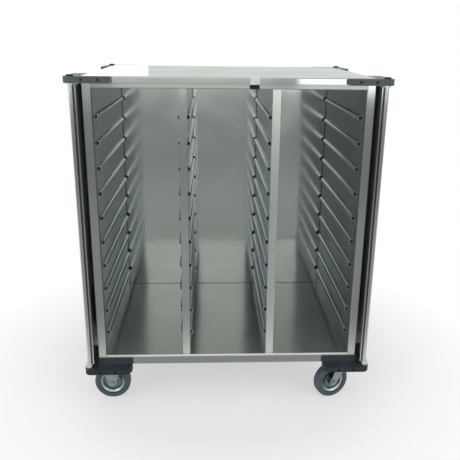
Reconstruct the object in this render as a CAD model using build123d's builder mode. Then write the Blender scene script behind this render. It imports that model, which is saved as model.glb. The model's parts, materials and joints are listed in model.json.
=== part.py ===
"""Closed tray trolley: a stainless carcass with three tray bays, two doors folded back along its
sides, corner bumpers that carry the door pivots, and four castors, two of them swivelling."""
import os

from build123d import *

os.makedirs("parts", exist_ok=True)

# Carcass, in millimetres
bay_width = 336.0  # clear width of one tray bay
divider_thickness = 32.0
stile_width = 34.0
frame_depth = 30.0  # depth of the face frame's stiles and rails
carcass_depth = 860.0  # face frame to the outside of the back
back_thickness = 30.0
opening_height = 1151.0  # floor lip to the underside of the top rail
bottom_rail_height = 44.0
top_rail_height = 21.0
fascia_height = 25.0
fascia_reach = 15.0  # how far the fascia stands in front of the face frame
sheet = 1.0
tube_wall = 1.5  # of the stiles and rails
tube_radius = 3.0  # their rounded front edges
lip_rise = 8.0  # rolled lip at the floor's front edge
lip_depth = 8.0
lip_radius = 3.9
roof_edge_radius = 4.0
chassis_rail_width = 40.0
channel_wall = 3.0
gusset_size = 112.0  # corner plates that take the castors
gusset_thickness = 6.0
cross_member_width = 40.0
cross_member_count = 1

# Tray runners
runner_count = 10
runner_pitch = 106.5
first_runner = 75.0  # floor lip to the axis of the lowest runner
runner_radius = 12.0
runner_wall = 1.2
runner_mouth_radius = 8.0  # opening in a runner's front end
runner_front_setback = 75.0  # face frame to the runners' front ends
runner_back_setback = 28.0  # back panel to the runners' rear ends

# Divider front caps
cap_depth = 14.0
cap_edge = 1.2
cap_foot_flare = 4.0
cap_foot_height = 13.0
cap_foot_thickness = 4.0

# Corner bumpers and door pivots
pivot_side_offset = 34.0  # pivot axis outside the carcass side
pivot_front_offset = 28.0  # pivot axis in front of the face frame
ear_radius = 26.0
bottom_ear_side = 20.0  # pivot axis to the bottom ear's outer side
rear_reach = 42.0  # how far the rear bumpers stand out of the carcass
top_leg = 115.0  # bumper length along the front from the carcass corner
bottom_leg = 148.0
side_leg = 170.0
top_end_radius = 8.0
bottom_end_radius = 36.0
rear_corner_radius = 22.0
bottom_bumper_height = 26.0
bottom_bumper_drop = 41.0  # floor lip to the flat top of the ear
wedge_drop = 15.0  # floor lip to the top of the bumper at the rail
wedge_lip = 4.0
wedge_run = 18.0
wedge_foot_rise = 9.0
front_edge_fall = 3.0
screw_radius = 3.0
screw_head_radius = 4.6
screw_head_height = 4.0
screw_socket_radius = 2.3
counterbore_radius = 5.2
counterbore_depth = 9.0
screw_spacing = 63.0
top_screw_inset = 74.0  # carcass side to the screw nearer the middle
bottom_screw_inset = 78.0
plug_radius = 13.5
plug_height = 6.0
plug_edge = 2.5
bumper_edge = 1.8  # rounding of the bumpers' rims
rear_plug_offset = 15.0  # plug axis outside the carcass corner at the rear

# Doors
leaf_gap = 3.0  # between the two closed leaves
stile_radius = 9.0  # half-round hinge edge
stile_flat = 14.0  # hinge axis to the leaf's inner pan
stile_bore = 7.0
outer_pan_near = 16.0  # hinge axis to the near side of the outer pan
outer_pan_far = 20.0  # hinge axis to the leaf's outer face
door_sheet = 1.0
door_foot = 20.0  # bottom bumper ear to the leaf
door_head = 7.0  # leaf to the top bumper
pin_radius = 7.0
pin_tip_clear = 2.0
foot_collar_radius = 17.0
head_collar_radius = 14.0
spigot_length = 20.0

# Catch for the closed doors
catch_offset = 94.0  # right of the centre line
catch_width = 38.0
catch_reach = 12.0
catch_drop = 3.0
catch_wall = 2.0
catch_block_height = 16.0
catch_block_reach = 17.0
catch_block_side = 1.0

# Castors
castor_height = 195.0
castor_side_inset = 47.0  # carcass side to the castor axis
castor_end_inset = 60.0  # carcass face to the castor axis
crown_clearance = 4.7  # tyre to the swivel fork's crown
tyre_width = 46.0
tyre_thickness = 25.0
tyre_shoulder = 12.0
rim_width = 38.0
rim_wall = 3.0
rim_dish = 10.0  # radial run of the slope inside the rim's edge
rim_dish_depth = 7.0
web_thickness = 10.0
hub_radius = 19.0
step_radius = 36.0  # raised ring round the hub
step_width = 22.0
hub_length = 52.0
axle_radius = 6.0
axle_head_radius = 9.5
axle_head_height = 6.0
plate_length = 92.0
plate_width = 94.0
plate_thickness = 5.0
plate_corner = 6.0
bolt_spacing_x = 72.0
bolt_spacing_y = 78.0
bolt_radius = 4.0
bolt_head_flats = 13.0
bolt_head_height = 5.5
fork_gap = 1.0  # hub to fork leg
leg_thickness = 4.0
leg_boss_radius = 18.0
fixed_leg_top = 88.0  # width of a fixed fork's legs at the plate
fixed_leg_drop = 25.0  # how far down they keep that width
swivel_trail = 50.0
swivel_turn = 20.0  # degrees by which the swivel castors stand turned
crown_front = 30.0
crown_back = 36.0
crown_thickness = 8.0
swivel_head_radius = 28.0
raceway_radius = 32.0
raceway_height = 8.0
swivel_head_height = 9.0
kingpin_radius = 10.0

# Clearances
running_fit = 0.05  # radial, pin in bore
bearing_gap = 0.3  # between faces that turn on each other
bolt_clearance = 0.4
end_land = 1.0  # flat left beside a rounded bumper end
cut_past = 10.0  # how far a cut runs past what it takes away

# Derived levels and planes
opening_width = 3 * bay_width + 2 * divider_thickness
half_opening = opening_width / 2
half_face = half_opening + stile_width
front_reach = pivot_front_offset + ear_radius
side_reach = pivot_side_offset + ear_radius
bottom_side_reach = pivot_side_offset + bottom_ear_side
face_y = front_reach - (front_reach + carcass_depth + rear_reach) / 2
back_y = face_y + carcass_depth
frame_back_y = face_y + frame_depth
inner_back_y = back_y - back_thickness
fascia_y = face_y - fascia_reach
lip_top = castor_height + bottom_rail_height
floor_top = lip_top - lip_rise
chassis_top = floor_top - sheet
opening_top = lip_top + opening_height
fascia_bottom = opening_top + top_rail_height
roof_top = fascia_bottom + fascia_height
pivot_x = half_face + pivot_side_offset
pivot_y = face_y - pivot_front_offset
ear_top = lip_top - bottom_bumper_drop
ear_bottom = ear_top - bottom_bumper_height
door_bottom = ear_top + door_foot
door_top = fascia_bottom - door_head
door_length = pivot_x - leaf_gap / 2
divider_x = (bay_width + divider_thickness) / 2
castor_x = half_face - castor_side_inset
swivel_stack = plate_thickness + raceway_height + bearing_gap + swivel_head_height + crown_thickness
wheel_radius = (castor_height - swivel_stack - crown_clearance) / 2
tyre_inner_radius = wheel_radius - tyre_thickness
leg_inside = hub_length / 2 + fork_gap
leg_outside = leg_inside + leg_thickness
plate_bottom = castor_height - plate_thickness
sides = {"left": -1, "right": 1}
ends = {"front": face_y + castor_end_inset, "rear": back_y - castor_end_inset}


def slab(x_span, y_span, z_span, mode=Mode.ADD):
    """A box between two limits along each axis, added to or cut from the open part."""
    size = [abs(span[1] - span[0]) for span in (x_span, y_span, z_span)]
    centre = [(span[0] + span[1]) / 2 for span in (x_span, y_span, z_span)]
    with Locations(tuple(centre)):
        Box(*size, mode=mode)


def castor_bolt_places():
    """Plan positions of every castor bolt."""
    castors = [(sx * castor_x, castor_y) for sx in sides.values() for castor_y in ends.values()]
    return [(x + dx * bolt_spacing_x / 2, y + dy * bolt_spacing_y / 2)
            for x, y in castors for dx in (-1, 1) for dy in (-1, 1)]


def save(piece, node):
    """Names a finished piece and writes its file."""
    piece.label = node
    export_step(piece, f"parts/{node}.step")


# Chassis: a welded ring of channel, open below, with a cross member and corner plates
chassis_x = half_face - sheet
chassis_y = (frame_back_y, back_y - sheet)
chassis_middle = (chassis_y[0] + chassis_y[1]) / 2
chassis_length = chassis_y[1] - chassis_y[0]
well_count = cross_member_count + 1
ring_inside = 2 * (chassis_x - chassis_rail_width)
well_width = (ring_inside - cross_member_count * cross_member_width) / well_count
well_length = chassis_length - 2 * chassis_rail_width
well_pitch = well_width + cross_member_width
with BuildPart() as chassis:
    slab((-chassis_x, chassis_x), chassis_y, (castor_height, chassis_top))
    with BuildSketch(Plane.XY.offset(castor_height)) as wells:
        with Locations((0, chassis_middle)):
            with GridLocations(well_pitch, 0, well_count, 1):
                Rectangle(well_width, well_length)
    extrude(amount=chassis_top - castor_height, mode=Mode.SUBTRACT)
    with BuildSketch(Plane.XY.offset(castor_height)) as channels:
        with Locations((0, chassis_middle)):
            Rectangle(2 * (chassis_x - channel_wall), chassis_length - 2 * channel_wall)
            with GridLocations(well_pitch, 0, well_count, 1):
                Rectangle(well_width + 2 * channel_wall, well_length + 2 * channel_wall,
                          mode=Mode.SUBTRACT)
    extrude(amount=chassis_top - castor_height - channel_wall, mode=Mode.SUBTRACT)
    for sx in sides.values():
        slab((sx * chassis_x, sx * (chassis_x - gusset_size)),
             (chassis_y[0], chassis_y[0] + gusset_size), (castor_height, castor_height + gusset_thickness))
        slab((sx * chassis_x, sx * (chassis_x - gusset_size)),
             (chassis_y[1] - gusset_size, chassis_y[1]), (castor_height, castor_height + gusset_thickness))
    with BuildSketch(Plane.XY.offset(castor_height)) as chassis_holes:
        with Locations(*castor_bolt_places()):
            Circle(bolt_radius + bolt_clearance)
    extrude(amount=gusset_thickness, mode=Mode.SUBTRACT)
save(chassis.part, "chassis_frame")

# Floor, with a rolled lip along its front edge
with BuildPart() as floor_panel:
    slab((-half_opening, half_opening), (face_y, inner_back_y), (chassis_top, floor_top))
    slab((-half_opening, half_opening), (face_y, face_y + lip_depth), (floor_top, lip_top))
    lip_edges = floor_panel.edges().filter_by(Axis.X).filter_by_position(Axis.Z, lip_top, lip_top)
    fillet(lip_edges, lip_radius)
save(floor_panel.part, "floor_panel")

# Face frame: box sections for the stiles and rails
with BuildPart() as bottom_rail:
    slab((-half_face, half_face), (face_y, frame_back_y), (castor_height, chassis_top))
    fillet(bottom_rail.edges().filter_by(Axis.X).group_by(Axis.Z)[0].sort_by(Axis.Y)[0], tube_radius)
    slab((-half_face, half_face), (face_y + tube_wall, frame_back_y - tube_wall),
         (castor_height + tube_wall, chassis_top - tube_wall), Mode.SUBTRACT)
    with BuildSketch(Plane.XY.offset(castor_height)) as rail_holes:
        with Locations(*castor_bolt_places()):
            Circle(bolt_radius + bolt_clearance)
    extrude(amount=tube_wall, mode=Mode.SUBTRACT)
save(bottom_rail.part, "bottom_rail")

with BuildPart() as top_rail:
    slab((-half_opening, half_opening), (face_y, frame_back_y), (opening_top, fascia_bottom))
    fillet(top_rail.edges().filter_by(Axis.X).group_by(Axis.Z)[0].sort_by(Axis.Y)[0], tube_radius)
    slab((-half_opening, half_opening), (face_y + tube_wall, frame_back_y - tube_wall),
         (opening_top + tube_wall, fascia_bottom - tube_wall), Mode.SUBTRACT)
save(top_rail.part, "top_rail")

for side, sx in sides.items():
    with BuildPart() as stile:
        with BuildSketch(Plane.XY.offset(chassis_top)) as stile_section:
            with Locations((sx * (half_opening + stile_width / 2), face_y + frame_depth / 2)):
                Rectangle(stile_width, frame_depth)
            fillet(stile_section.vertices().group_by(Axis.Y)[0], tube_radius)
            with Locations((sx * (half_opening + stile_width / 2), face_y + frame_depth / 2)):
                Rectangle(stile_width - 2 * tube_wall, frame_depth - 2 * tube_wall, mode=Mode.SUBTRACT)
        extrude(amount=fascia_bottom - chassis_top)
    save(stile.part, f"{side}_stile")

# Side walls: an outer and an inner sheet
for side, sx in sides.items():
    with BuildPart() as side_outer:
        slab((sx * chassis_x, sx * half_face), (frame_back_y, back_y), (castor_height, fascia_bottom))
    save(side_outer.part, f"{side}_side_outer")

    with BuildPart() as side_inner:
        slab((sx * half_opening, sx * (half_opening + sheet)), (frame_back_y, inner_back_y),
             (chassis_top, opening_top + sheet))
    save(side_inner.part, f"{side}_side_inner")

# Back wall, ceiling and roof
with BuildPart() as back_outer:
    slab((-chassis_x, chassis_x), (back_y - sheet, back_y), (castor_height, fascia_bottom))
save(back_outer.part, "back_outer")

with BuildPart() as back_inner:
    slab((-half_opening - sheet, half_opening + sheet), (inner_back_y, inner_back_y + sheet),
         (chassis_top, opening_top + sheet))
save(back_inner.part, "back_inner")

with BuildPart() as ceiling:
    slab((-half_opening, half_opening), (frame_back_y, inner_back_y), (opening_top, opening_top + sheet))
save(ceiling.part, "ceiling_panel")

with BuildPart() as roof_hollow:
    slab((-chassis_x, chassis_x), (fascia_y + sheet, back_y - sheet),
         (fascia_bottom + sheet, roof_top - sheet))
    fillet(roof_hollow.edges().group_by(Axis.Z)[-1], roof_edge_radius - sheet)
    slab((-chassis_x, chassis_x), (face_y + sheet, back_y - sheet), (fascia_bottom, fascia_bottom + sheet))

with BuildPart() as roof:
    slab((-half_face, half_face), (fascia_y, back_y), (fascia_bottom, roof_top))
    fillet(roof.edges().group_by(Axis.Z)[-1], roof_edge_radius)
    add(roof_hollow.part, mode=Mode.SUBTRACT)
save(roof.part, "top_panel")

# Dividers: hollow double walls, each closed at the front by a capping strip
divider_half = divider_thickness / 2
cap_y = face_y + lip_depth
divider_front_y = cap_y + cap_depth
for side, sx in sides.items():
    with BuildPart() as divider:
        with BuildSketch(Plane.XY.offset(floor_top)) as divider_section:
            with Locations((sx * divider_x, (divider_front_y + inner_back_y) / 2)):
                Rectangle(divider_thickness, inner_back_y - divider_front_y)
                Rectangle(divider_thickness - 2 * sheet, inner_back_y - divider_front_y - 2 * sheet,
                          mode=Mode.SUBTRACT)
        extrude(amount=opening_top - floor_top)
    save(divider.part, f"{side}_divider")

    with BuildPart() as cap:
        with BuildSketch(Plane.XY.offset(floor_top)) as cap_section:
            with Locations((sx * divider_x, cap_y + cap_depth / 2)):
                Rectangle(divider_thickness, cap_depth)
            fillet(cap_section.vertices().group_by(Axis.Y)[0], cap_edge)
            with Locations((sx * divider_x, cap_y + cap_depth / 2 + sheet / 2)):
                Rectangle(divider_thickness - 2 * sheet, cap_depth - sheet, mode=Mode.SUBTRACT)
        extrude(amount=opening_top - floor_top)
        with BuildSketch(Plane.XZ.offset(-cap_y)) as cap_foot:
            with BuildLine():
                centre = sx * divider_x
                foot_half = divider_half + cap_foot_flare
                Polyline((centre - foot_half, floor_top), (centre + foot_half, floor_top),
                         (centre + divider_half, floor_top + cap_foot_height),
                         (centre - divider_half, floor_top + cap_foot_height), close=True)
            make_face()
        extrude(amount=-cap_foot_thickness)
    save(cap.part, f"{side}_divider_cap")

# Tray runners: half-round profiles with a mouth in front and closed at the rear, a ladder on each wall
runner_front_y = face_y + runner_front_setback
runner_rear_y = inner_back_y - runner_back_setback
runner_inside = runner_radius - runner_wall
runner_walls = {
    "left_wall_runners": (-half_opening, 1),
    "left_divider_left_runners": (-divider_x - divider_half, -1),
    "left_divider_right_runners": (-divider_x + divider_half, 1),
    "right_divider_left_runners": (divider_x - divider_half, -1),
    "right_divider_right_runners": (divider_x + divider_half, 1),
    "right_wall_runners": (half_opening, -1),
}


def runner_lengths(wall_x, facing, y_span, outer, inner=None):
    """The same length of every runner on one wall, on the side of the wall that faces the bay."""
    with BuildSketch(Plane.XZ.offset(-y_span[0])) as section:
        for level in range(runner_count):
            with Locations((wall_x, lip_top + first_runner + level * runner_pitch)):
                Circle(outer)
                if inner:
                    Circle(inner, mode=Mode.SUBTRACT)
        with Locations((wall_x - facing * runner_radius, lip_top + first_runner - runner_pitch / 2)):
            Rectangle(2 * runner_radius, runner_count * runner_pitch, align=(Align.CENTER, Align.MIN),
                      mode=Mode.SUBTRACT)
    extrude(section.sketch, amount=y_span[0] - y_span[1])


for node, (wall_x, facing) in runner_walls.items():
    with BuildPart() as runners:
        runner_lengths(wall_x, facing, (runner_front_y, runner_rear_y), runner_radius, runner_inside)
        runner_lengths(wall_x, facing, (runner_front_y, runner_front_y + runner_wall), runner_inside,
                       runner_mouth_radius)
        runner_lengths(wall_x, facing, (runner_rear_y - runner_wall, runner_rear_y), runner_inside)
    save(runners.part, node)

# Catch at the top of the opening: a steel cap over a dark buffer block
catch_x = (catch_offset - catch_width / 2, catch_offset + catch_width / 2)
catch_bottom = fascia_bottom - catch_drop
with BuildPart() as catch_bracket:
    slab(catch_x, (fascia_y - catch_reach, fascia_y), (catch_bottom, roof_top))
    fillet(catch_bracket.edges().group_by(Axis.Y)[0], catch_wall)
    slab((catch_x[0] + catch_wall, catch_x[1] - catch_wall),
         (fascia_y - catch_reach + catch_wall, fascia_y), (catch_bottom, roof_top - catch_wall),
         Mode.SUBTRACT)
save(catch_bracket.part, "catch_bracket")

with BuildPart() as catch_block:
    slab((catch_x[0] + catch_block_side, catch_x[1] - catch_block_side),
         (face_y - catch_block_reach, face_y), (catch_bottom - catch_block_height, catch_bottom))
    fillet(catch_block.edges().group_by(Axis.Y)[0], catch_block_side)
save(catch_block.part, "catch_block")


def bumper_plan(sx, sy, wall, reach, leg, corner_radius, end_radius):
    """L-shaped plan of a bumper that wraps one carcass corner, with rounded outer corners."""
    near = (wall[0] - leg[0], wall[1] - leg[1])
    far = (wall[0] + reach[0], wall[1] + reach[1])
    corners = [(near[0], wall[1]), (near[0], far[1]), far, (far[0], near[1]), (wall[0], near[1]), wall]
    placed = [(sx * x, sy * y) for x, y in corners]
    with BuildSketch() as plan:
        with BuildLine():
            Polyline(*placed, close=True)
        make_face()
        fillet(plan.vertices().sort_by_distance(placed[2])[0], corner_radius)
        fillet(plan.vertices().sort_by_distance(placed[1])[0], end_radius)
        fillet(plan.vertices().sort_by_distance(placed[3])[0], end_radius)
    return plan.sketch


def screw_places(sx, sy, face, inset, z):
    """Planes on a bumper's outer face where its two screws go in, pointing outwards."""
    inner = half_face - inset
    return [Plane(origin=(sx * x, sy * face, z), z_dir=(0, sy, 0)) for x in (inner, inner + screw_spacing)]


# Corner bumpers: four at the roof and four round the chassis, those in front with pivot ears
screw_seats = []
plug_places = []
fascia_mid = (fascia_bottom + roof_top) / 2
ear_mid = (ear_bottom + ear_top - front_edge_fall) / 2
for side, sx in sides.items():
    for end, sy in {"front": -1, "rear": 1}.items():
        at_front = end == "front"
        corner_radius = ear_radius if at_front else rear_corner_radius
        top_outer_x = side_reach if at_front else rear_reach
        base_outer_x = bottom_side_reach if at_front else rear_reach
        roof_wall_y = -fascia_y if at_front else back_y
        base_wall_y = -face_y if at_front else back_y
        outer_face = -face_y + front_reach if at_front else back_y + rear_reach

        top_plan = bumper_plan(sx, sy, (half_face, roof_wall_y), (top_outer_x, outer_face - roof_wall_y),
                               (top_leg, side_leg), corner_radius, top_end_radius)
        top_screws = screw_places(sx, sy, outer_face, top_screw_inset, fascia_mid)
        with BuildPart() as top_bumper:
            extrude(Plane.XY.offset(fascia_bottom) * top_plan, amount=fascia_height)
            rims = top_bumper.edges().group_by(Axis.Z)
            fillet(rims[0] + rims[-1], bumper_edge)
            with Locations(*top_screws):
                CounterBoreHole(screw_radius + bolt_clearance, counterbore_radius, counterbore_depth,
                                outer_face - roof_wall_y)
            if at_front:
                with Locations((sx * pivot_x, pivot_y, roof_top)):
                    Hole(pin_radius + running_fit, fascia_height)
        save(top_bumper.part, f"{end}_{side}_top_bumper")

        base_end_radius = min(bottom_end_radius, base_outer_x - end_land,
                              outer_face - base_wall_y - end_land)
        base_plan = bumper_plan(sx, sy, (half_face, base_wall_y), (base_outer_x, outer_face - base_wall_y),
                                (bottom_leg, side_leg), corner_radius, base_end_radius)
        base_screws = screw_places(sx, sy, outer_face, bottom_screw_inset, ear_mid)
        with BuildPart() as bottom_bumper:
            extrude(Plane.XY.offset(ear_bottom) * base_plan, amount=lip_top - wedge_drop - ear_bottom)
            with BuildSketch(Plane.YZ) as air:
                with BuildLine():
                    Polyline((sy * (base_wall_y + wedge_lip), lip_top - wedge_drop),
                             (sy * (base_wall_y + wedge_run), ear_top + wedge_foot_rise),
                             (sy * outer_face, ear_top - front_edge_fall),
                             (sy * (outer_face + cut_past), ear_top - front_edge_fall),
                             (sy * (outer_face + cut_past), lip_top),
                             (sy * (base_wall_y + wedge_lip), lip_top), close=True)
                make_face()
            extrude(amount=sx * half_face, mode=Mode.SUBTRACT)
            slab((sx * half_face, sx * (half_face + base_outer_x + cut_past)),
                 (sy * (base_wall_y - side_leg - cut_past), sy * (outer_face + cut_past)),
                 (ear_top, lip_top), Mode.SUBTRACT)
            fillet(bottom_bumper.edges().group_by(Axis.Z)[0], bumper_edge)
            with Locations(*base_screws):
                CounterBoreHole(screw_radius + bolt_clearance, counterbore_radius, counterbore_depth,
                                outer_face - base_wall_y)
            if at_front:
                with Locations((sx * pivot_x, pivot_y, ear_top)):
                    Hole(pin_radius + running_fit, bottom_bumper_height)
        save(bottom_bumper.part, f"{end}_{side}_bottom_bumper")

        screw_seats += [(place, outer_face - roof_wall_y) for place in top_screws]
        screw_seats += [(place, outer_face - base_wall_y) for place in base_screws]
        if at_front:
            plug_places.append((sx * pivot_x, pivot_y, roof_top))
        else:
            plug_places.append((sx * (half_face + rear_plug_offset), back_y + rear_plug_offset, roof_top))

# Screws sunk in the bumpers' outer faces
with BuildPart() as bumper_screws:
    for place, bumper_depth in screw_seats:
        with BuildSketch(place.offset(-counterbore_depth)):
            Circle(screw_head_radius)
            RegularPolygon(screw_socket_radius, 6, mode=Mode.SUBTRACT)
        extrude(amount=screw_head_height)
        with BuildSketch(place.offset(-counterbore_depth)):
            Circle(screw_radius)
        extrude(amount=counterbore_depth - bumper_depth)
save(bumper_screws.part, "bumper_screws")

# Plugs on the roof bumpers
with BuildPart() as pivot_plugs:
    for place in plug_places:
        with BuildSketch(Plane(origin=place)):
            Circle(plug_radius)
        extrude(amount=plug_height)
    fillet(pivot_plugs.edges().filter_by(GeomType.CIRCLE).group_by(Axis.Z)[-1], plug_edge)
save(pivot_plugs.part, "pivot_plugs")

# Doors, folded back along the carcass sides: each a hinge edge and two pans, on two pivot pins
hinge_span = (pivot_y + stile_flat, pivot_y + door_length)
for side, sx in sides.items():
    with BuildPart() as hinge_stile:
        with BuildSketch(Plane.XY.offset(door_bottom)) as hinge_section:
            with Locations((sx * pivot_x, pivot_y)):
                Circle(stile_radius)
                Rectangle(2 * stile_radius, stile_flat, align=(Align.CENTER, Align.MIN))
                Circle(stile_bore, mode=Mode.SUBTRACT)
        extrude(amount=door_top - door_bottom)
    save(hinge_stile.part, f"{side}_door_hinge_stile")

    with BuildPart() as inner_pan:
        pan_x = (sx * (pivot_x + stile_radius), sx * (pivot_x - outer_pan_near))
        slab(pan_x, hinge_span, (door_bottom, door_top))
        slab((pan_x[0] - sx * door_sheet, pan_x[1]),
             (hinge_span[0] + door_sheet, hinge_span[1] - door_sheet),
             (door_bottom + door_sheet, door_top - door_sheet), Mode.SUBTRACT)
    save(inner_pan.part, f"{side}_door_inner_pan")

    with BuildPart() as outer_pan:
        pan_x = (sx * (pivot_x - outer_pan_near), sx * (pivot_x - outer_pan_far))
        slab(pan_x, (pivot_y - stile_radius, hinge_span[1]), (door_bottom, door_top))
        slab((pan_x[0], pan_x[1] + sx * door_sheet),
             (pivot_y - stile_radius + door_sheet, hinge_span[1] - door_sheet),
             (door_bottom + door_sheet, door_top - door_sheet), Mode.SUBTRACT)
    save(outer_pan.part, f"{side}_door_outer_pan")

    with BuildPart() as pins:
        lower = [(door_bottom, door_bottom + spigot_length, stile_bore - running_fit),
                 (ear_top + bearing_gap, door_bottom, foot_collar_radius),
                 (ear_bottom, ear_top + bearing_gap, pin_radius)]
        upper = [(door_top - spigot_length, door_top, stile_bore - running_fit),
                 (door_top, fascia_bottom - bearing_gap, head_collar_radius),
                 (fascia_bottom - bearing_gap, roof_top - pin_tip_clear, pin_radius)]
        for start, finish, radius in lower + upper:
            with BuildSketch(Plane.XY.offset(start)):
                with Locations((sx * pivot_x, pivot_y)):
                    Circle(radius)
            extrude(amount=finish - start)
    save(pins.part, f"{side}_door_pins")

# Castors: the left pair runs straight, the right pair swivels, trails to the left and stands turned
fixed_centres = [(-castor_x, y, wheel_radius) for y in ends.values()]
swivel_centres = [(castor_x - swivel_trail, y, wheel_radius) for y in ends.values()]
swivel_axes = {end: Axis((castor_x, castor_y, 0), (0, 0, 1)) for end, castor_y in ends.items()}
hub_bore = axle_radius + running_fit


def castor_plate(x, y):
    """A drilled top plate under the chassis corner."""
    with BuildSketch(Plane.XY.offset(plate_bottom)) as plate:
        with Locations((x, y)):
            RectangleRounded(plate_length, plate_width, plate_corner)
            with GridLocations(bolt_spacing_x, bolt_spacing_y, 2, 2):
                Circle(bolt_radius + bolt_clearance, mode=Mode.SUBTRACT)
    extrude(plate.sketch, amount=plate_thickness)


def fork_legs(outline, axle_x, castor_y):
    """Two flat legs of the same outline, one on each side of the wheel, with a hole for the axle."""
    for facing in (-1, 1):
        with BuildSketch(Plane.XZ.offset(-castor_y - facing * leg_inside)) as leg:
            with BuildLine():
                Polyline(*outline, close=True)
            make_face()
            with Locations((axle_x, wheel_radius)):
                Circle(leg_boss_radius)
                Circle(hub_bore, mode=Mode.SUBTRACT)
        extrude(leg.sketch, amount=-facing * leg_thickness)


def axle_bolt(axle_x, castor_y):
    """An axle with a hexagon at each end."""
    with BuildSketch(Plane.XZ.offset(-castor_y - leg_outside)) as shank:
        with Locations((axle_x, wheel_radius)):
            Circle(axle_radius)
    extrude(shank.sketch, amount=2 * leg_outside)
    for facing in (-1, 1):
        with BuildSketch(Plane.XZ.offset(-castor_y - facing * leg_outside)) as hexagon:
            with Locations((axle_x, wheel_radius)):
                RegularPolygon(axle_head_radius, 6)
        extrude(hexagon.sketch, amount=-facing * axle_head_height)


with BuildPart() as fixed_forks:
    for x, y, z in fixed_centres:
        castor_plate(x, y)
        half_top = fixed_leg_top / 2
        leg_waist = plate_bottom - fixed_leg_drop
        fork_legs([(x - half_top, plate_bottom), (x + half_top, plate_bottom), (x + half_top, leg_waist),
                   (x + leg_boss_radius, z), (x - leg_boss_radius, z), (x - half_top, leg_waist)], x, y)
save(fixed_forks.part, "fixed_castor_forks")

with BuildPart() as fixed_axles:
    for x, y, z in fixed_centres:
        axle_bolt(x, y)
save(fixed_axles.part, "fixed_castor_axles")

raceway_bottom = plate_bottom - raceway_height
with BuildPart() as swivel_plates:
    for castor_y in ends.values():
        castor_plate(castor_x, castor_y)
        with BuildSketch(Plane.XY.offset(raceway_bottom)) as raceway:
            with Locations((castor_x, castor_y)):
                Circle(raceway_radius)
        extrude(raceway.sketch, amount=raceway_height)
        with Locations((castor_x, castor_y, castor_height)):
            Hole(kingpin_radius + running_fit, plate_thickness + raceway_height)
save(swivel_plates.part, "swivel_castor_plates")

head_top = raceway_bottom - bearing_gap
crown_top = head_top - swivel_head_height
crown_bottom = crown_top - crown_thickness
for end, castor_y in ends.items():
    axle_x = castor_x - swivel_trail
    with BuildPart() as fork:
        slab((castor_x - crown_back, castor_x + crown_front),
             (castor_y - leg_outside, castor_y + leg_outside), (crown_bottom, crown_top))
        fillet(fork.edges().filter_by(Axis.Z), leg_thickness)
        with BuildSketch(Plane.XY.offset(crown_top)) as swivel_head:
            with Locations((castor_x, castor_y)):
                Circle(swivel_head_radius)
        extrude(amount=swivel_head_height)
        with BuildSketch(Plane.XY.offset(head_top)) as kingpin:
            with Locations((castor_x, castor_y)):
                Circle(kingpin_radius)
        extrude(amount=castor_height - head_top)
        fork_legs([(castor_x - crown_back + leg_thickness, crown_top),
                   (castor_x + crown_front - leg_thickness, crown_top),
                   (castor_x + crown_front - leg_thickness, crown_bottom),
                   (axle_x + leg_boss_radius, wheel_radius), (axle_x - leg_boss_radius, wheel_radius),
                   (castor_x - crown_back + leg_thickness, crown_bottom)], axle_x, castor_y)
    save(fork.part.rotate(swivel_axes[end], swivel_turn), f"{end}_right_fork")

    with BuildPart() as axle:
        axle_bolt(axle_x, castor_y)
    save(axle.part.rotate(swivel_axes[end], swivel_turn), f"{end}_right_axle")

wheels = []
for end_index, end in enumerate(ends):
    wheels.append((f"{end}_left", fixed_centres[end_index], swivel_axes[end], 0))
    wheels.append((f"{end}_right", swivel_centres[end_index], swivel_axes[end], swivel_turn))
ring_radius = tyre_inner_radius - rim_wall
for corner, centre, swivel_axis, turn in wheels:
    wheel_plane = Plane(origin=centre, x_dir=(0, 1, 0), z_dir=(1, 0, 0))
    spin_axis = Axis(centre, (0, 1, 0))
    with BuildPart() as rim:
        with BuildSketch(wheel_plane):
            with Locations((0, hub_bore)):
                Rectangle(hub_length, hub_radius - hub_bore, align=(Align.CENTER, Align.MIN))
                Rectangle(step_width, step_radius - hub_bore, align=(Align.CENTER, Align.MIN))
                Rectangle(web_thickness, tyre_inner_radius - hub_bore, align=(Align.CENTER, Align.MIN))
            with Locations((0, tyre_inner_radius)):
                Rectangle(rim_width, rim_wall, align=(Align.CENTER, Align.MAX))
            with BuildLine():
                Polyline((-rim_width / 2, ring_radius), (rim_width / 2, ring_radius),
                         (rim_width / 2 - rim_dish_depth, ring_radius - rim_dish),
                         (rim_dish_depth - rim_width / 2, ring_radius - rim_dish), close=True)
            make_face()
        revolve(axis=spin_axis)
    save(rim.part.rotate(swivel_axis, turn), f"{corner}_rim")

    with BuildPart() as tyre:
        with BuildSketch(wheel_plane) as tyre_section:
            with Locations((0, tyre_inner_radius)):
                Rectangle(tyre_width, wheel_radius - tyre_inner_radius, align=(Align.CENTER, Align.MIN))
            fillet(tyre_section.vertices().group_by(Axis.Y)[-1], tyre_shoulder)
        revolve(axis=spin_axis)
    save(tyre.part.rotate(swivel_axis, turn), f"{corner}_tyre")

# Bolts that hold the castor plates to the chassis
with BuildPart() as castor_bolts:
    with BuildSketch(Plane.XY.offset(plate_bottom)) as bolt_shanks:
        with Locations(*castor_bolt_places()):
            Circle(bolt_radius)
    extrude(amount=plate_thickness + gusset_thickness)
    with BuildSketch(Plane.XY.offset(plate_bottom)) as bolt_heads:
        with Locations(*castor_bolt_places()):
            RegularPolygon(bolt_head_flats / 2, 6, major_radius=False)
    extrude(amount=-bolt_head_height)
save(castor_bolts.part, "castor_bolts")
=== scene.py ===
"""Looks of a closed tray trolley: finishes, floor, light and camera."""
import json
import math

import bmesh
import bpy
from mathutils import Matrix, Vector

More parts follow.
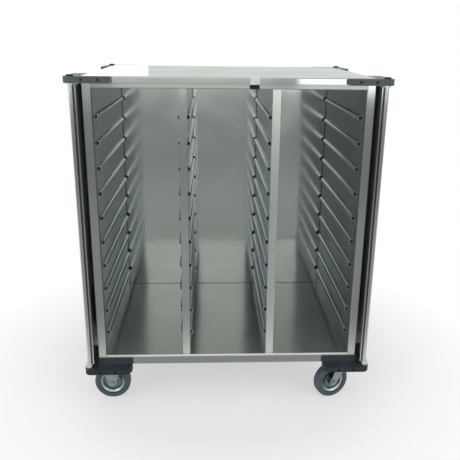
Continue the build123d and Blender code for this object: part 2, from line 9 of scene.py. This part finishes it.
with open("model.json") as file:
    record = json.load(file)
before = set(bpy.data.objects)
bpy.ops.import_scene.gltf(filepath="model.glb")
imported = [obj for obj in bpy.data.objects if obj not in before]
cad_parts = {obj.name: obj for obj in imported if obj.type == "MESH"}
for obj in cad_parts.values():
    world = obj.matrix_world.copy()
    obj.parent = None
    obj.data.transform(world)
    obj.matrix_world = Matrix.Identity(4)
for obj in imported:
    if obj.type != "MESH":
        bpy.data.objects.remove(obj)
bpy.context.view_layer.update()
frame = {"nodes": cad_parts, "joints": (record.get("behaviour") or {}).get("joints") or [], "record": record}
nodes = frame["nodes"]
slot_of = {entry["node"]: entry["material_slot"] for entry in frame["record"]["subparts"]}
joints = {joint["name"]: joint for joint in frame["joints"]}

# Camera, fitted to the straight edges of the photograph
LENS = 47.01  # millimetres
SENSOR = 36.0  # millimetres
SHIFT_X = -0.0151
CAMERA_AT = (-0.0792, -2.7974, 1.5830)
CAMERA_PITCH = 17.835  # degrees below the horizon
CAMERA_YAW = -2.70  # degrees
CAMERA_ROLL = 0.72  # degrees

# Colours, linear
WHITE = (1.0, 1.0, 1.0)
STEEL = (0.485, 0.512, 0.482)
# darker, bluer copy of the steel for the bays' inner walls: painted shade
SHADED_WALL_STEEL = (0.345, 0.376, 0.388)
RUNNER_STEEL = (0.430, 0.470, 0.488)
BRIGHT_STEEL = (0.545, 0.570, 0.540)
WALL_EDGE = (0.68, 0.72, 0.75)  # tint of a sheet seen along its surface
ROOF_EDGE = (0.80, 0.87, 0.82)
ZINC = (0.270, 0.315, 0.300)
SLATE = (0.027, 0.036, 0.041)
# the bumpers' slate painted lighter for the top bumpers: painted light
LIT_SLATE = (0.062, 0.083, 0.083)
BLACK = (0.010, 0.012, 0.012)
SCREW = (0.012, 0.013, 0.013)
# rim: web painted dark as a painted reflection of a dark floor, ring painted bright as a painted highlight
RIM_WEB_SHADE = (0.110, 0.175, 0.175)
RIM_RING_HIGHLIGHT = (0.370, 0.440, 0.440)
TYRE_GREY = (0.062, 0.074, 0.094)
FLOOR_WHITE = (0.96, 0.96, 0.96)
FLOOR_GREY = (0.42, 0.43, 0.43)

# Patterns, in features per metre
GRAIN_ACROSS = 900.0
GRAIN_ALONG = 6.0
STREAKS_ACROSS = 60.0
STREAKS_ALONG = 0.8
WIPED_PATCHES = 4.0
SHEET_WAVES = 3.5
MOULD_TEXTURE = 900.0
MOULD_CLOUDS = 22.0
SPANGLE = 170.0
PLATING_TEXTURE = 300.0
RIM_CLOUDS = 60.0
TYRE_CLOUDS = 40.0
NOISE_RANGE = (0.3, 0.7)  # values that most of a noise pattern lies between

# Depths of relief and radii of softened edges, in metres
WAVE_DEPTH = 0.0022
SHEET_EDGE = 0.0009
MOULD_EDGE = 0.0025
PLATING_DEPTH = 0.00003
PLATING_EDGE = 0.001
TYRE_RING_DEPTH = 0.00004
TYRE_EDGE = 0.002

# Brushed steel: shares in its pattern, tones beside its plain colour, and roughness
STREAK_SHARE = 0.4
WIPED_SHARE = 0.6
SHEET_TONES = (0.96, 1.04)
# Painted highlight on the floor's rolled lip: its tone, its fade, and the pattern's share behind it
LIP_HIGHLIGHT_TONE = 1.75
LIP_HIGHLIGHT_FADE = 0.001  # metres
UNHIGHLIGHTED_SHARE = 0.12
# painted shade: a sheet's corners darkened to this share of its colour
CORNER_SHADE_TONE = 0.35
GRAIN_ROUGHNESS = 0.01
WIPED_ROUGHNESS = (-0.02, 0.03)
GRAIN_STRENGTH = 0.88

# Direction across the grain, a little off the axis so that it lies in every face beside the grain
ACROSS_GRAIN = {"X": (0.0, 1.0, 0.5), "Y": (0.5, 0.0, 1.0), "Z": (1.0, 0.5, 0.0)}
AXES = "XYZ"

# Plastic, plating and rubber: tones beside the plain colour, and roughness
MOULD_TONES = (0.85, 1.2)
MOULD_ROUGHNESS = (-0.06, 0.08)
ZINC_TONES = (0.85, 1.18)
ZINC_ROUGHNESS = (0.32, 0.48)
RIM_ROUGHNESS = (0.26, 0.36)
RIM_CLOUD_SHARE = 0.05
# share of the painted highlight on the rim's sloped ring
RING_HIGHLIGHT_SHARE = 0.95
TYRE_TONES = (0.9, 1.35)
TYRE_ROUGHNESS = (0.48, 0.62)
DUST_SHARE = 0.6
TYRE_CLOUD_SHARE = 0.4

# Places on a wheel, in metres from its axle
RING_START = (0.044, 0.048)
RING_END = (0.051, 0.0525)
DUSTY_TREAD = (0.070, 0.080)
TYRE_RING_PITCH = 0.0022

# Sockets of the mix node that hold colours
MIX_FIRST, MIX_SECOND, MIX_RESULT = 6, 7, 2


def rgba(color):
    return (*color, 1)


def scaled(color, factor):
    return tuple(min(1.0, channel * factor) for channel in color)


class Nodes:
    """A node tree under construction."""

    def __init__(self, tree):
        self.tree = tree
        tree.nodes.clear()

    def feed(self, target, value):
        """Joins an input to a socket, or sets it to a plain value."""
        if isinstance(value, bpy.types.NodeSocket):
            self.tree.links.new(value, target)
        else:
            target.default_value = value

    def node(self, kind, inputs=(), **settings):
        """A new node with its settings, and with inputs fed by name or number."""
        made = self.tree.nodes.new(kind)
        for name, value in settings.items():
            setattr(made, name, value)
        for key, value in dict(inputs).items():
            self.feed(made.inputs[key], value)
        return made

    def math(self, operation, *values):
        return self.node("ShaderNodeMath", enumerate(values), operation=operation).outputs["Value"]

    def blend(self, factor, first, second):
        """A shader between two shaders."""
        return self.node("ShaderNodeMixShader", {0: factor, 1: first, 2: second}).outputs["Shader"]

    def seen(self):
        """1 for what the camera sees, straight, mirrored or through glass, and 0 for plain light."""
        path = self.node("ShaderNodeLightPath")
        seen = path.outputs["Is Camera Ray"]
        for kind in ("Is Glossy Ray", "Is Transmission Ray"):
            seen = self.math("MAXIMUM", seen, path.outputs[kind])
        return seen


class Shader(Nodes):
    """A node material under construction, with its principled shader at hand."""

    def __init__(self, name, color, roughness, metallic=0.0):
        self.material = bpy.data.materials.new(name)
        self.material.use_nodes = True
        super().__init__(self.material.node_tree)
        self.surface = self.node("ShaderNodeBsdfPrincipled", {
            "Base Color": rgba(color), "Roughness": roughness, "Metallic": metallic})
        self.output = self.node("ShaderNodeOutputMaterial", {"Surface": self.surface.outputs["BSDF"]})
        self.place = self.node("ShaderNodeTexCoord").outputs["Object"]

    def set(self, socket, value):
        """Feeds an input of the principled shader."""
        self.feed(self.surface.inputs[socket], value)

    def along(self, axis):
        """The surface's place along an axis."""
        return self.node("ShaderNodeSeparateXYZ", {"Vector": self.place}).outputs[axis]

    def vector_math(self, operation, result, *values):
        made = self.node("ShaderNodeVectorMath", enumerate(values), operation=operation)
        return made.outputs[result]

    def noise(self, scale, detail=3.0, grain=None, along=None):
        """A noise pattern in features per metre, which may have another scale along a grain."""
        scales = [along if axis == grain else scale for axis in AXES]
        mapped = self.node("ShaderNodeMapping", {"Vector": self.place, "Scale": scales})
        made = self.node("ShaderNodeTexNoise", {
            "Vector": mapped.outputs["Vector"], "Scale": 1.0, "Detail": detail})
        return made.outputs["Fac"]

    def spread(self, value, low, high, start=NOISE_RANGE[0], end=NOISE_RANGE[1]):
        """A value between start and end, stretched to run from low to high."""
        made = self.node("ShaderNodeMapRange", {
            "Value": value, "From Min": start, "From Max": end, "To Min": low, "To Max": high})
        return made.outputs["Result"]

    def mix(self, factor, first, second):
        """A colour between two colours, each a plain one or a socket."""
        first, second = (rgba(color) if isinstance(color, tuple) else color
                         for color in (first, second))
        made = self.node("ShaderNodeMix", {"Factor": factor, MIX_FIRST: first, MIX_SECOND: second},
                         data_type="RGBA")
        return made.outputs[MIX_RESULT]

    def tones(self, factor, color, darkest, brightest):
        """A colour between a darker and a brighter tone of it."""
        return self.mix(factor, scaled(color, darkest), scaled(color, brightest))

    def relief(self, height, depth, edge):
        """Relief of the given depth over edges softened by the given radius, both in metres."""
        bevel = self.node("ShaderNodeBevel", {"Radius": edge}, samples=4)
        bump = self.node("ShaderNodeBump", {
            "Strength": 1.0, "Distance": depth, "Height": height, "Normal": bevel.outputs["Normal"]})
        self.set("Normal", bump.outputs["Normal"])


def corner_shade_mask(shader, corners):
    """Where shade is painted into a sheet: 1 in its corners and 0 elsewhere. Each corner has an axis,
    a place along it and a reach. A place along X counts on both sides of the middle."""
    mask = None
    for axis, place, reach in corners:
        along = shader.along(axis)
        if axis == "X":
            along = shader.math("ABSOLUTE", along)
        near = shader.math("COMPARE", along, place, reach)
        mask = near if mask is None else shader.math("MAXIMUM", mask, near)
    return mask


def steel(name, color, grain, roughness, edge=WHITE, rubbed_y=None, corners=(), metallic=1.0):
    """Brushed sheet: a fine grain along one axis, faint streaks, wiped patches and slight waves.
    Edge is its tint seen along the surface. In front of a given place along Y it carries a painted
    highlight, and its corners are darkened with painted shade. Metallic below 1 gives it a matt share."""
    shader = Shader(name, color, roughness, metallic)
    fine = shader.noise(GRAIN_ACROSS, 2.0, grain, GRAIN_ALONG)
    streaks = shader.noise(STREAKS_ACROSS, 3.0, grain, STREAKS_ALONG)
    wiped = shader.noise(WIPED_PATCHES, 4.0)
    tone = shader.math("ADD", shader.spread(streaks, 0.0, STREAK_SHARE),
                       shader.spread(wiped, 0.0, WIPED_SHARE))
    darkest, brightest = SHEET_TONES
    # painted highlight: the sheet painted brighter in front of the given place along Y
    if rubbed_y is not None:
        highlight_mask = shader.spread(shader.along("Y"), 1.0, 0.0, rubbed_y - LIP_HIGHLIGHT_FADE, rubbed_y)
        tone = shader.math("ADD", shader.spread(tone, 0.0, UNHIGHLIGHTED_SHARE, 0.0, 1.0), highlight_mask)
        brightest = LIP_HIGHLIGHT_TONE
    tinted = shader.tones(tone, color, darkest, brightest)
    # painted shade: the sheet darkened in its corners
    if corners:
        tinted = shader.mix(corner_shade_mask(shader, corners), tinted, scaled(color, CORNER_SHADE_TONE))
    shader.set("Base Color", tinted)
    shader.set("Specular Tint", rgba(edge))
    brushed = shader.spread(fine, roughness - GRAIN_ROUGHNESS, roughness + GRAIN_ROUGHNESS)
    shader.set("Roughness", shader.math("ADD", brushed, shader.spread(wiped, *WIPED_ROUGHNESS)))
    shader.relief(shader.noise(SHEET_WAVES, 1.0), WAVE_DEPTH, SHEET_EDGE)
    shader.set("Anisotropic", GRAIN_STRENGTH)
    across = shader.node("ShaderNodeCombineXYZ", zip(AXES, ACROSS_GRAIN[grain]))
    shader.set("Tangent", across.outputs["Vector"])
    return shader.material


def plastic(name, color, roughness, texture_depth, shine=0.5):
    """Moulded plastic: a spark-eroded texture, with slight clouding."""
    shader = Shader(name, color, roughness)
    cloud = shader.noise(MOULD_CLOUDS, 4.0)
    shader.set("Base Color", shader.tones(shader.spread(cloud, 0.0, 1.0), color, *MOULD_TONES))
    shader.set("Roughness", shader.spread(cloud, *(roughness + step for step in MOULD_ROUGHNESS)))
    shader.relief(shader.noise(MOULD_TEXTURE, 2.0), texture_depth, MOULD_EDGE)
    shader.set("Specular IOR Level", shine)
    return shader.material


def zinc_plate(name):
    """Zinc plating with a faint spangle."""
    shader = Shader(name, ZINC, 0.38, metallic=1.0)
    cells = shader.node("ShaderNodeTexVoronoi", {"Vector": shader.place, "Scale": SPANGLE})
    spangle = shader.node("ShaderNodeSeparateColor", {"Color": cells.outputs["Color"]}).outputs
    shader.set("Base Color", shader.tones(spangle["Red"], ZINC, *ZINC_TONES))
    shader.set("Roughness", shader.spread(spangle["Green"], *ZINC_ROUGHNESS, 0.0, 1.0))
    shader.relief(shader.noise(PLATING_TEXTURE), PLATING_DEPTH, PLATING_EDGE)
    return shader.material


def axle_distance(shader, centre, axle):
    """Distance of the surface from an axle."""
    offset = shader.vector_math("SUBTRACT", "Vector", shader.place, centre)
    sideways = shader.vector_math("CROSS_PRODUCT", "Vector", offset, axle)
    return shader.vector_math("LENGTH", "Value", sideways)


def rim_plate(name, centre, axle):
    """Pressed rim round an axle: its web painted dark, a painted reflection of a dark floor, inside a sloped
    ring painted bright as a painted highlight.
    """
    shader = Shader(name, RIM_RING_HIGHLIGHT, 0.4, metallic=1.0)
    distance = axle_distance(shader, centre, axle)
    cloud = shader.noise(RIM_CLOUDS)
    # painted highlight on the sloped ring, between its start and end
    ring_highlight = shader.math("MULTIPLY", shader.spread(distance, 0.0, RING_HIGHLIGHT_SHARE, *RING_START),
                       shader.spread(distance, 1.0, 0.0, *RING_END))
    bright = shader.math("ADD", ring_highlight, shader.spread(cloud, 0.0, RIM_CLOUD_SHARE))
    shader.set("Base Color", shader.mix(bright, RIM_WEB_SHADE, RIM_RING_HIGHLIGHT))
    shader.set("Roughness", shader.spread(cloud, *RIM_ROUGHNESS))
    shader.relief(shader.noise(PLATING_TEXTURE), PLATING_DEPTH, PLATING_EDGE)
    return shader.material


def rubber(name, centre, axle):
    """Rubber tyre round an axle: faint moulding rings, and dust where it rolls."""
    shader = Shader(name, TYRE_GREY, 0.55)
    distance = axle_distance(shader, centre, axle)
    dust = shader.spread(distance, 0.0, DUST_SHARE, *DUSTY_TREAD)
    cloud = shader.spread(shader.noise(TYRE_CLOUDS), 0.0, TYRE_CLOUD_SHARE)
    shader.set("Base Color", shader.tones(shader.math("ADD", dust, cloud), TYRE_GREY, *TYRE_TONES))
    shader.set("Roughness", shader.spread(cloud, *TYRE_ROUGHNESS, 0.0, TYRE_CLOUD_SHARE))
    turns = shader.math("MULTIPLY", distance, 2 * math.pi / TYRE_RING_PITCH)
    shader.relief(shader.math("SINE", turns), TYRE_RING_DEPTH, TYRE_EDGE)
    return shader.material


# Places of the sheets, in metres
LIP_BACK = -0.416  # back of the floor's rolled lip, in front of which a highlight is painted
BAY_SIDES = (0.168, 0.200, 0.536)  # walls of the bays, right and left of the middle
BAY_BACK = 0.406
BAY_FLOOR = 0.231
# Corners of the sheets where shade is painted, each as axis, place and reach
WALL_CORNERS = (("Y", BAY_BACK, 0.012), ("Z", BAY_FLOOR, 0.003))
BACK_CORNERS = (*(("X", side, 0.003) for side in BAY_SIDES), ("Z", BAY_FLOOR, 0.002))
FLOOR_CORNERS = (("Y", BAY_BACK, 0.003),)

# Finishes of the solids: steels by slot, those of single nodes, and the rest by slot
SLOT_STEELS = {
    "stainless_sheet": {"color": STEEL, "roughness": 0.22},
    "runner_steel": {"color": RUNNER_STEEL, "roughness": 0.20, "edge": WALL_EDGE, "metallic": 0.7,
                     "grain": "Y"},
    "bright_steel": {"color": BRIGHT_STEEL, "roughness": 0.24},
}
# bay walls: the steel darkened with painted shade, and its reflection along the surface dulled
WALL = {"color": SHADED_WALL_STEEL, "roughness": 0.17, "edge": WALL_EDGE, "metallic": 0.50, "grain": "Y",
        "corners": WALL_CORNERS}
UPRIGHT = {"grain": "Z"}
NODE_STEELS = {
    "left_side_inner": WALL,
    # right wall painted darker still than the left: painted shade
    "right_side_inner": {**WALL, "color": scaled(SHADED_WALL_STEEL, 0.58)},
    "left_divider": WALL,
    "right_divider": WALL,
    "back_inner": {"color": scaled(STEEL, 1.14), "roughness": 0.10, "corners": BACK_CORNERS},
    # floor: a painted highlight on its rolled lip, and painted shade in its back corner
    "floor_panel": {"color": scaled(STEEL, 0.80), "metallic": 0.78, "rubbed_y": LIP_BACK,
                    "corners": FLOOR_CORNERS},
    "top_panel": {"color": scaled(STEEL, 0.90), "roughness": 0.12, "edge": ROOF_EDGE},
    "top_rail": {"color": scaled(STEEL, 0.90)},
    # bottom rail painted darker than the rest of the frame: painted shade
    "bottom_rail": {"color": scaled(STEEL, 0.58)},
    "left_stile": UPRIGHT,
    "right_stile": UPRIGHT,
    "left_divider_cap": {**UPRIGHT, "color": scaled(BRIGHT_STEEL, 1.08)},
    # right cap painted brighter than the left one: painted highlight
    "right_divider_cap": {**UPRIGHT, "color": scaled(BRIGHT_STEEL, 1.40), "roughness": 0.48},
    "left_side_outer": UPRIGHT,
    "right_side_outer": UPRIGHT,
    "back_outer": UPRIGHT,
    "catch_bracket": {"color": scaled(BRIGHT_STEEL, 1.15)},
}
OTHER_FINISHES = {
    "zinc": zinc_plate("zinc_plate"),
    "bumper_plastic": plastic("slate_bumper", SLATE, 0.45, 0.00012, shine=0.15),
    # top bumpers: the same slate painted lighter, as painted light
    "top_bumper": plastic("dusty_bumper", LIT_SLATE, 0.46, 0.00012),
    "black_plastic": plastic("black_plastic", BLACK, 0.40, 0.00006, shine=0.2),
    "dark_screw": plastic("dark_screw", SCREW, 0.35, 0.00002),
}
WHEEL_FINISHES = {"_tyre": ("rubber", rubber), "_rim": ("plate", rim_plate)}
made_steels = {}


def steel_for(name):
    """The steel of a node. Nodes with the same settings share it."""
    slot = slot_of[name]
    settings = {"grain": "Z" if "_door_" in name else "X", **SLOT_STEELS[slot],
                **NODE_STEELS.get(name, {})}
    key = (slot, *sorted(settings.items()))
    if key not in made_steels:
        made_steels[key] = steel(f"{slot}_{len(made_steels) + 1}", **settings)
    return made_steels[key]


def finish_of(name):
    """The finish of a node."""
    slot = slot_of[name]
    if slot in SLOT_STEELS:
        return steel_for(name)
    if name.endswith("_top_bumper"):
        return OTHER_FINISHES["top_bumper"]
    for ending, (kind, finish) in WHEEL_FINISHES.items():
        if name.endswith(ending):
            spin = joints[name.replace(ending, "_wheel_spin")]
            return finish(f"{kind}_{name}", spin["pos_m"], spin["axis"])
    return OTHER_FINISHES[slot]


for name, solid in nodes.items():
    solid.data.materials.clear()
    solid.data.materials.append(finish_of(name))

# Floor, in metres from the middle of the trolley
FLOOR_SIZE = 40.0
FLOOR_ROUGHNESS = 0.9
FRONT_FADE = (-1.25, -0.86)  # it greys in front of the trolley, towards the lamps
FRONT_WHITE = (-0.95, -0.84)  # and is seen white only behind this
FAR_FADE = (0.75, 1.40)  # it whitens away from the trolley
NEAR_WHITE = 0.50  # share of white close by, where the shadow shows


def pale_floor():
    """White floor that keeps the trolley's shadow, and turns grey in front of it."""
    shader = Shader("pale_floor", FLOOR_WHITE, FLOOR_ROUGHNESS)
    depth = shader.along("Y")
    in_front = shader.spread(depth, 1.0, 0.0, *FRONT_FADE)
    shader.set("Base Color", shader.mix(in_front, FLOOR_WHITE, FLOOR_GREY))
    distance = shader.vector_math("LENGTH", "Value", shader.place)
    whiten = shader.math("MULTIPLY", shader.spread(distance, NEAR_WHITE, 1.0, *FAR_FADE),
                         shader.spread(depth, 0.0, 1.0, *FRONT_WHITE))
    whiten = shader.math("MULTIPLY", whiten, shader.seen())
    white = shader.node("ShaderNodeEmission", {"Color": rgba(WHITE)})
    blend = shader.blend(whiten, shader.surface.outputs["BSDF"], white.outputs["Emission"])
    shader.feed(shader.output.inputs["Surface"], blend)
    return shader.material


floor_mesh = bpy.data.meshes.new("floor")
shape = bmesh.new()
bmesh.ops.create_grid(shape, x_segments=1, y_segments=1, size=FLOOR_SIZE / 2)
shape.to_mesh(floor_mesh)
shape.free()
floor_mesh.materials.append(pale_floor())
floor = bpy.data.objects.new("floor", floor_mesh)
bpy.context.scene.collection.objects.link(floor)

# Light: white surroundings and soft lamps
BACKDROP = 1.0  # strength where the surroundings are seen
AMBIENT = 0.60  # and where they only give light
world = bpy.data.worlds.new("studio")
bpy.context.scene.world = world
world.use_nodes = True
sky = Nodes(world.node_tree)
ambient, backdrop = (
    sky.node("ShaderNodeBackground", {"Color": rgba(WHITE), "Strength": strength}).outputs["Background"]
    for strength in (AMBIENT, BACKDROP))
sky.node("ShaderNodeOutputWorld", {"Surface": sky.blend(sky.seen(), ambient, backdrop)})


def lamp(name, at, aim, size, power):
    """A rectangular soft lamp that points at a place, with its sides in metres and power in watts."""
    data = bpy.data.lights.new(name, "AREA")
    data.shape = "RECTANGLE"
    data.size, data.size_y = size
    data.energy = power
    made = bpy.data.objects.new(name, data)
    bpy.context.scene.collection.objects.link(made)
    made.location = at
    made.rotation_euler = (Vector(aim) - Vector(at)).to_track_quat("-Z", "Y").to_euler()


lamp("key", at=(2.7, -2.6, 2.2), aim=(0.2, 0.0, 1.0), size=(2.3, 2.0), power=24)
lamp("low", at=(1.10, -3.5, 1.25), aim=(0.3, 0.0, 1.2), size=(0.8, 0.20), power=2.0)
lamp("front", at=(-0.25, -3.6, 1.88), aim=(0.0, 0.0, 1.2), size=(1.5, 1.1), power=5)
lamp("fill", at=(-2.8, -2.4, 2.0), aim=(0.0, 0.0, 0.8), size=(2.3, 2.0), power=25)
lamp("top", at=(0.0, -0.4, 3.6), aim=(0.0, 0.0, 1.0), size=(3.0, 3.0), power=4)
lamp("back", at=(-1.2, 4.0, 1.6), aim=(-0.3, 0.0, 1.4), size=(0.9, 1.0), power=3.4)

# Camera
camera_data = bpy.data.cameras.new("camera")
camera_data.lens = LENS
camera_data.sensor_width = SENSOR
camera_data.shift_x = SHIFT_X
camera = bpy.data.objects.new("camera", camera_data)
bpy.context.scene.collection.objects.link(camera)
turn = Matrix.Rotation(math.radians(CAMERA_YAW), 4, "Z")
tilt = Matrix.Rotation(math.radians(90 - CAMERA_PITCH), 4, "X")
roll = Matrix.Rotation(math.radians(CAMERA_ROLL), 4, "Z")
camera.matrix_world = Matrix.Translation(CAMERA_AT) @ turn @ tilt @ roll
bpy.context.scene.camera = camera

bpy.context.scene.view_settings.view_transform = "Standard"
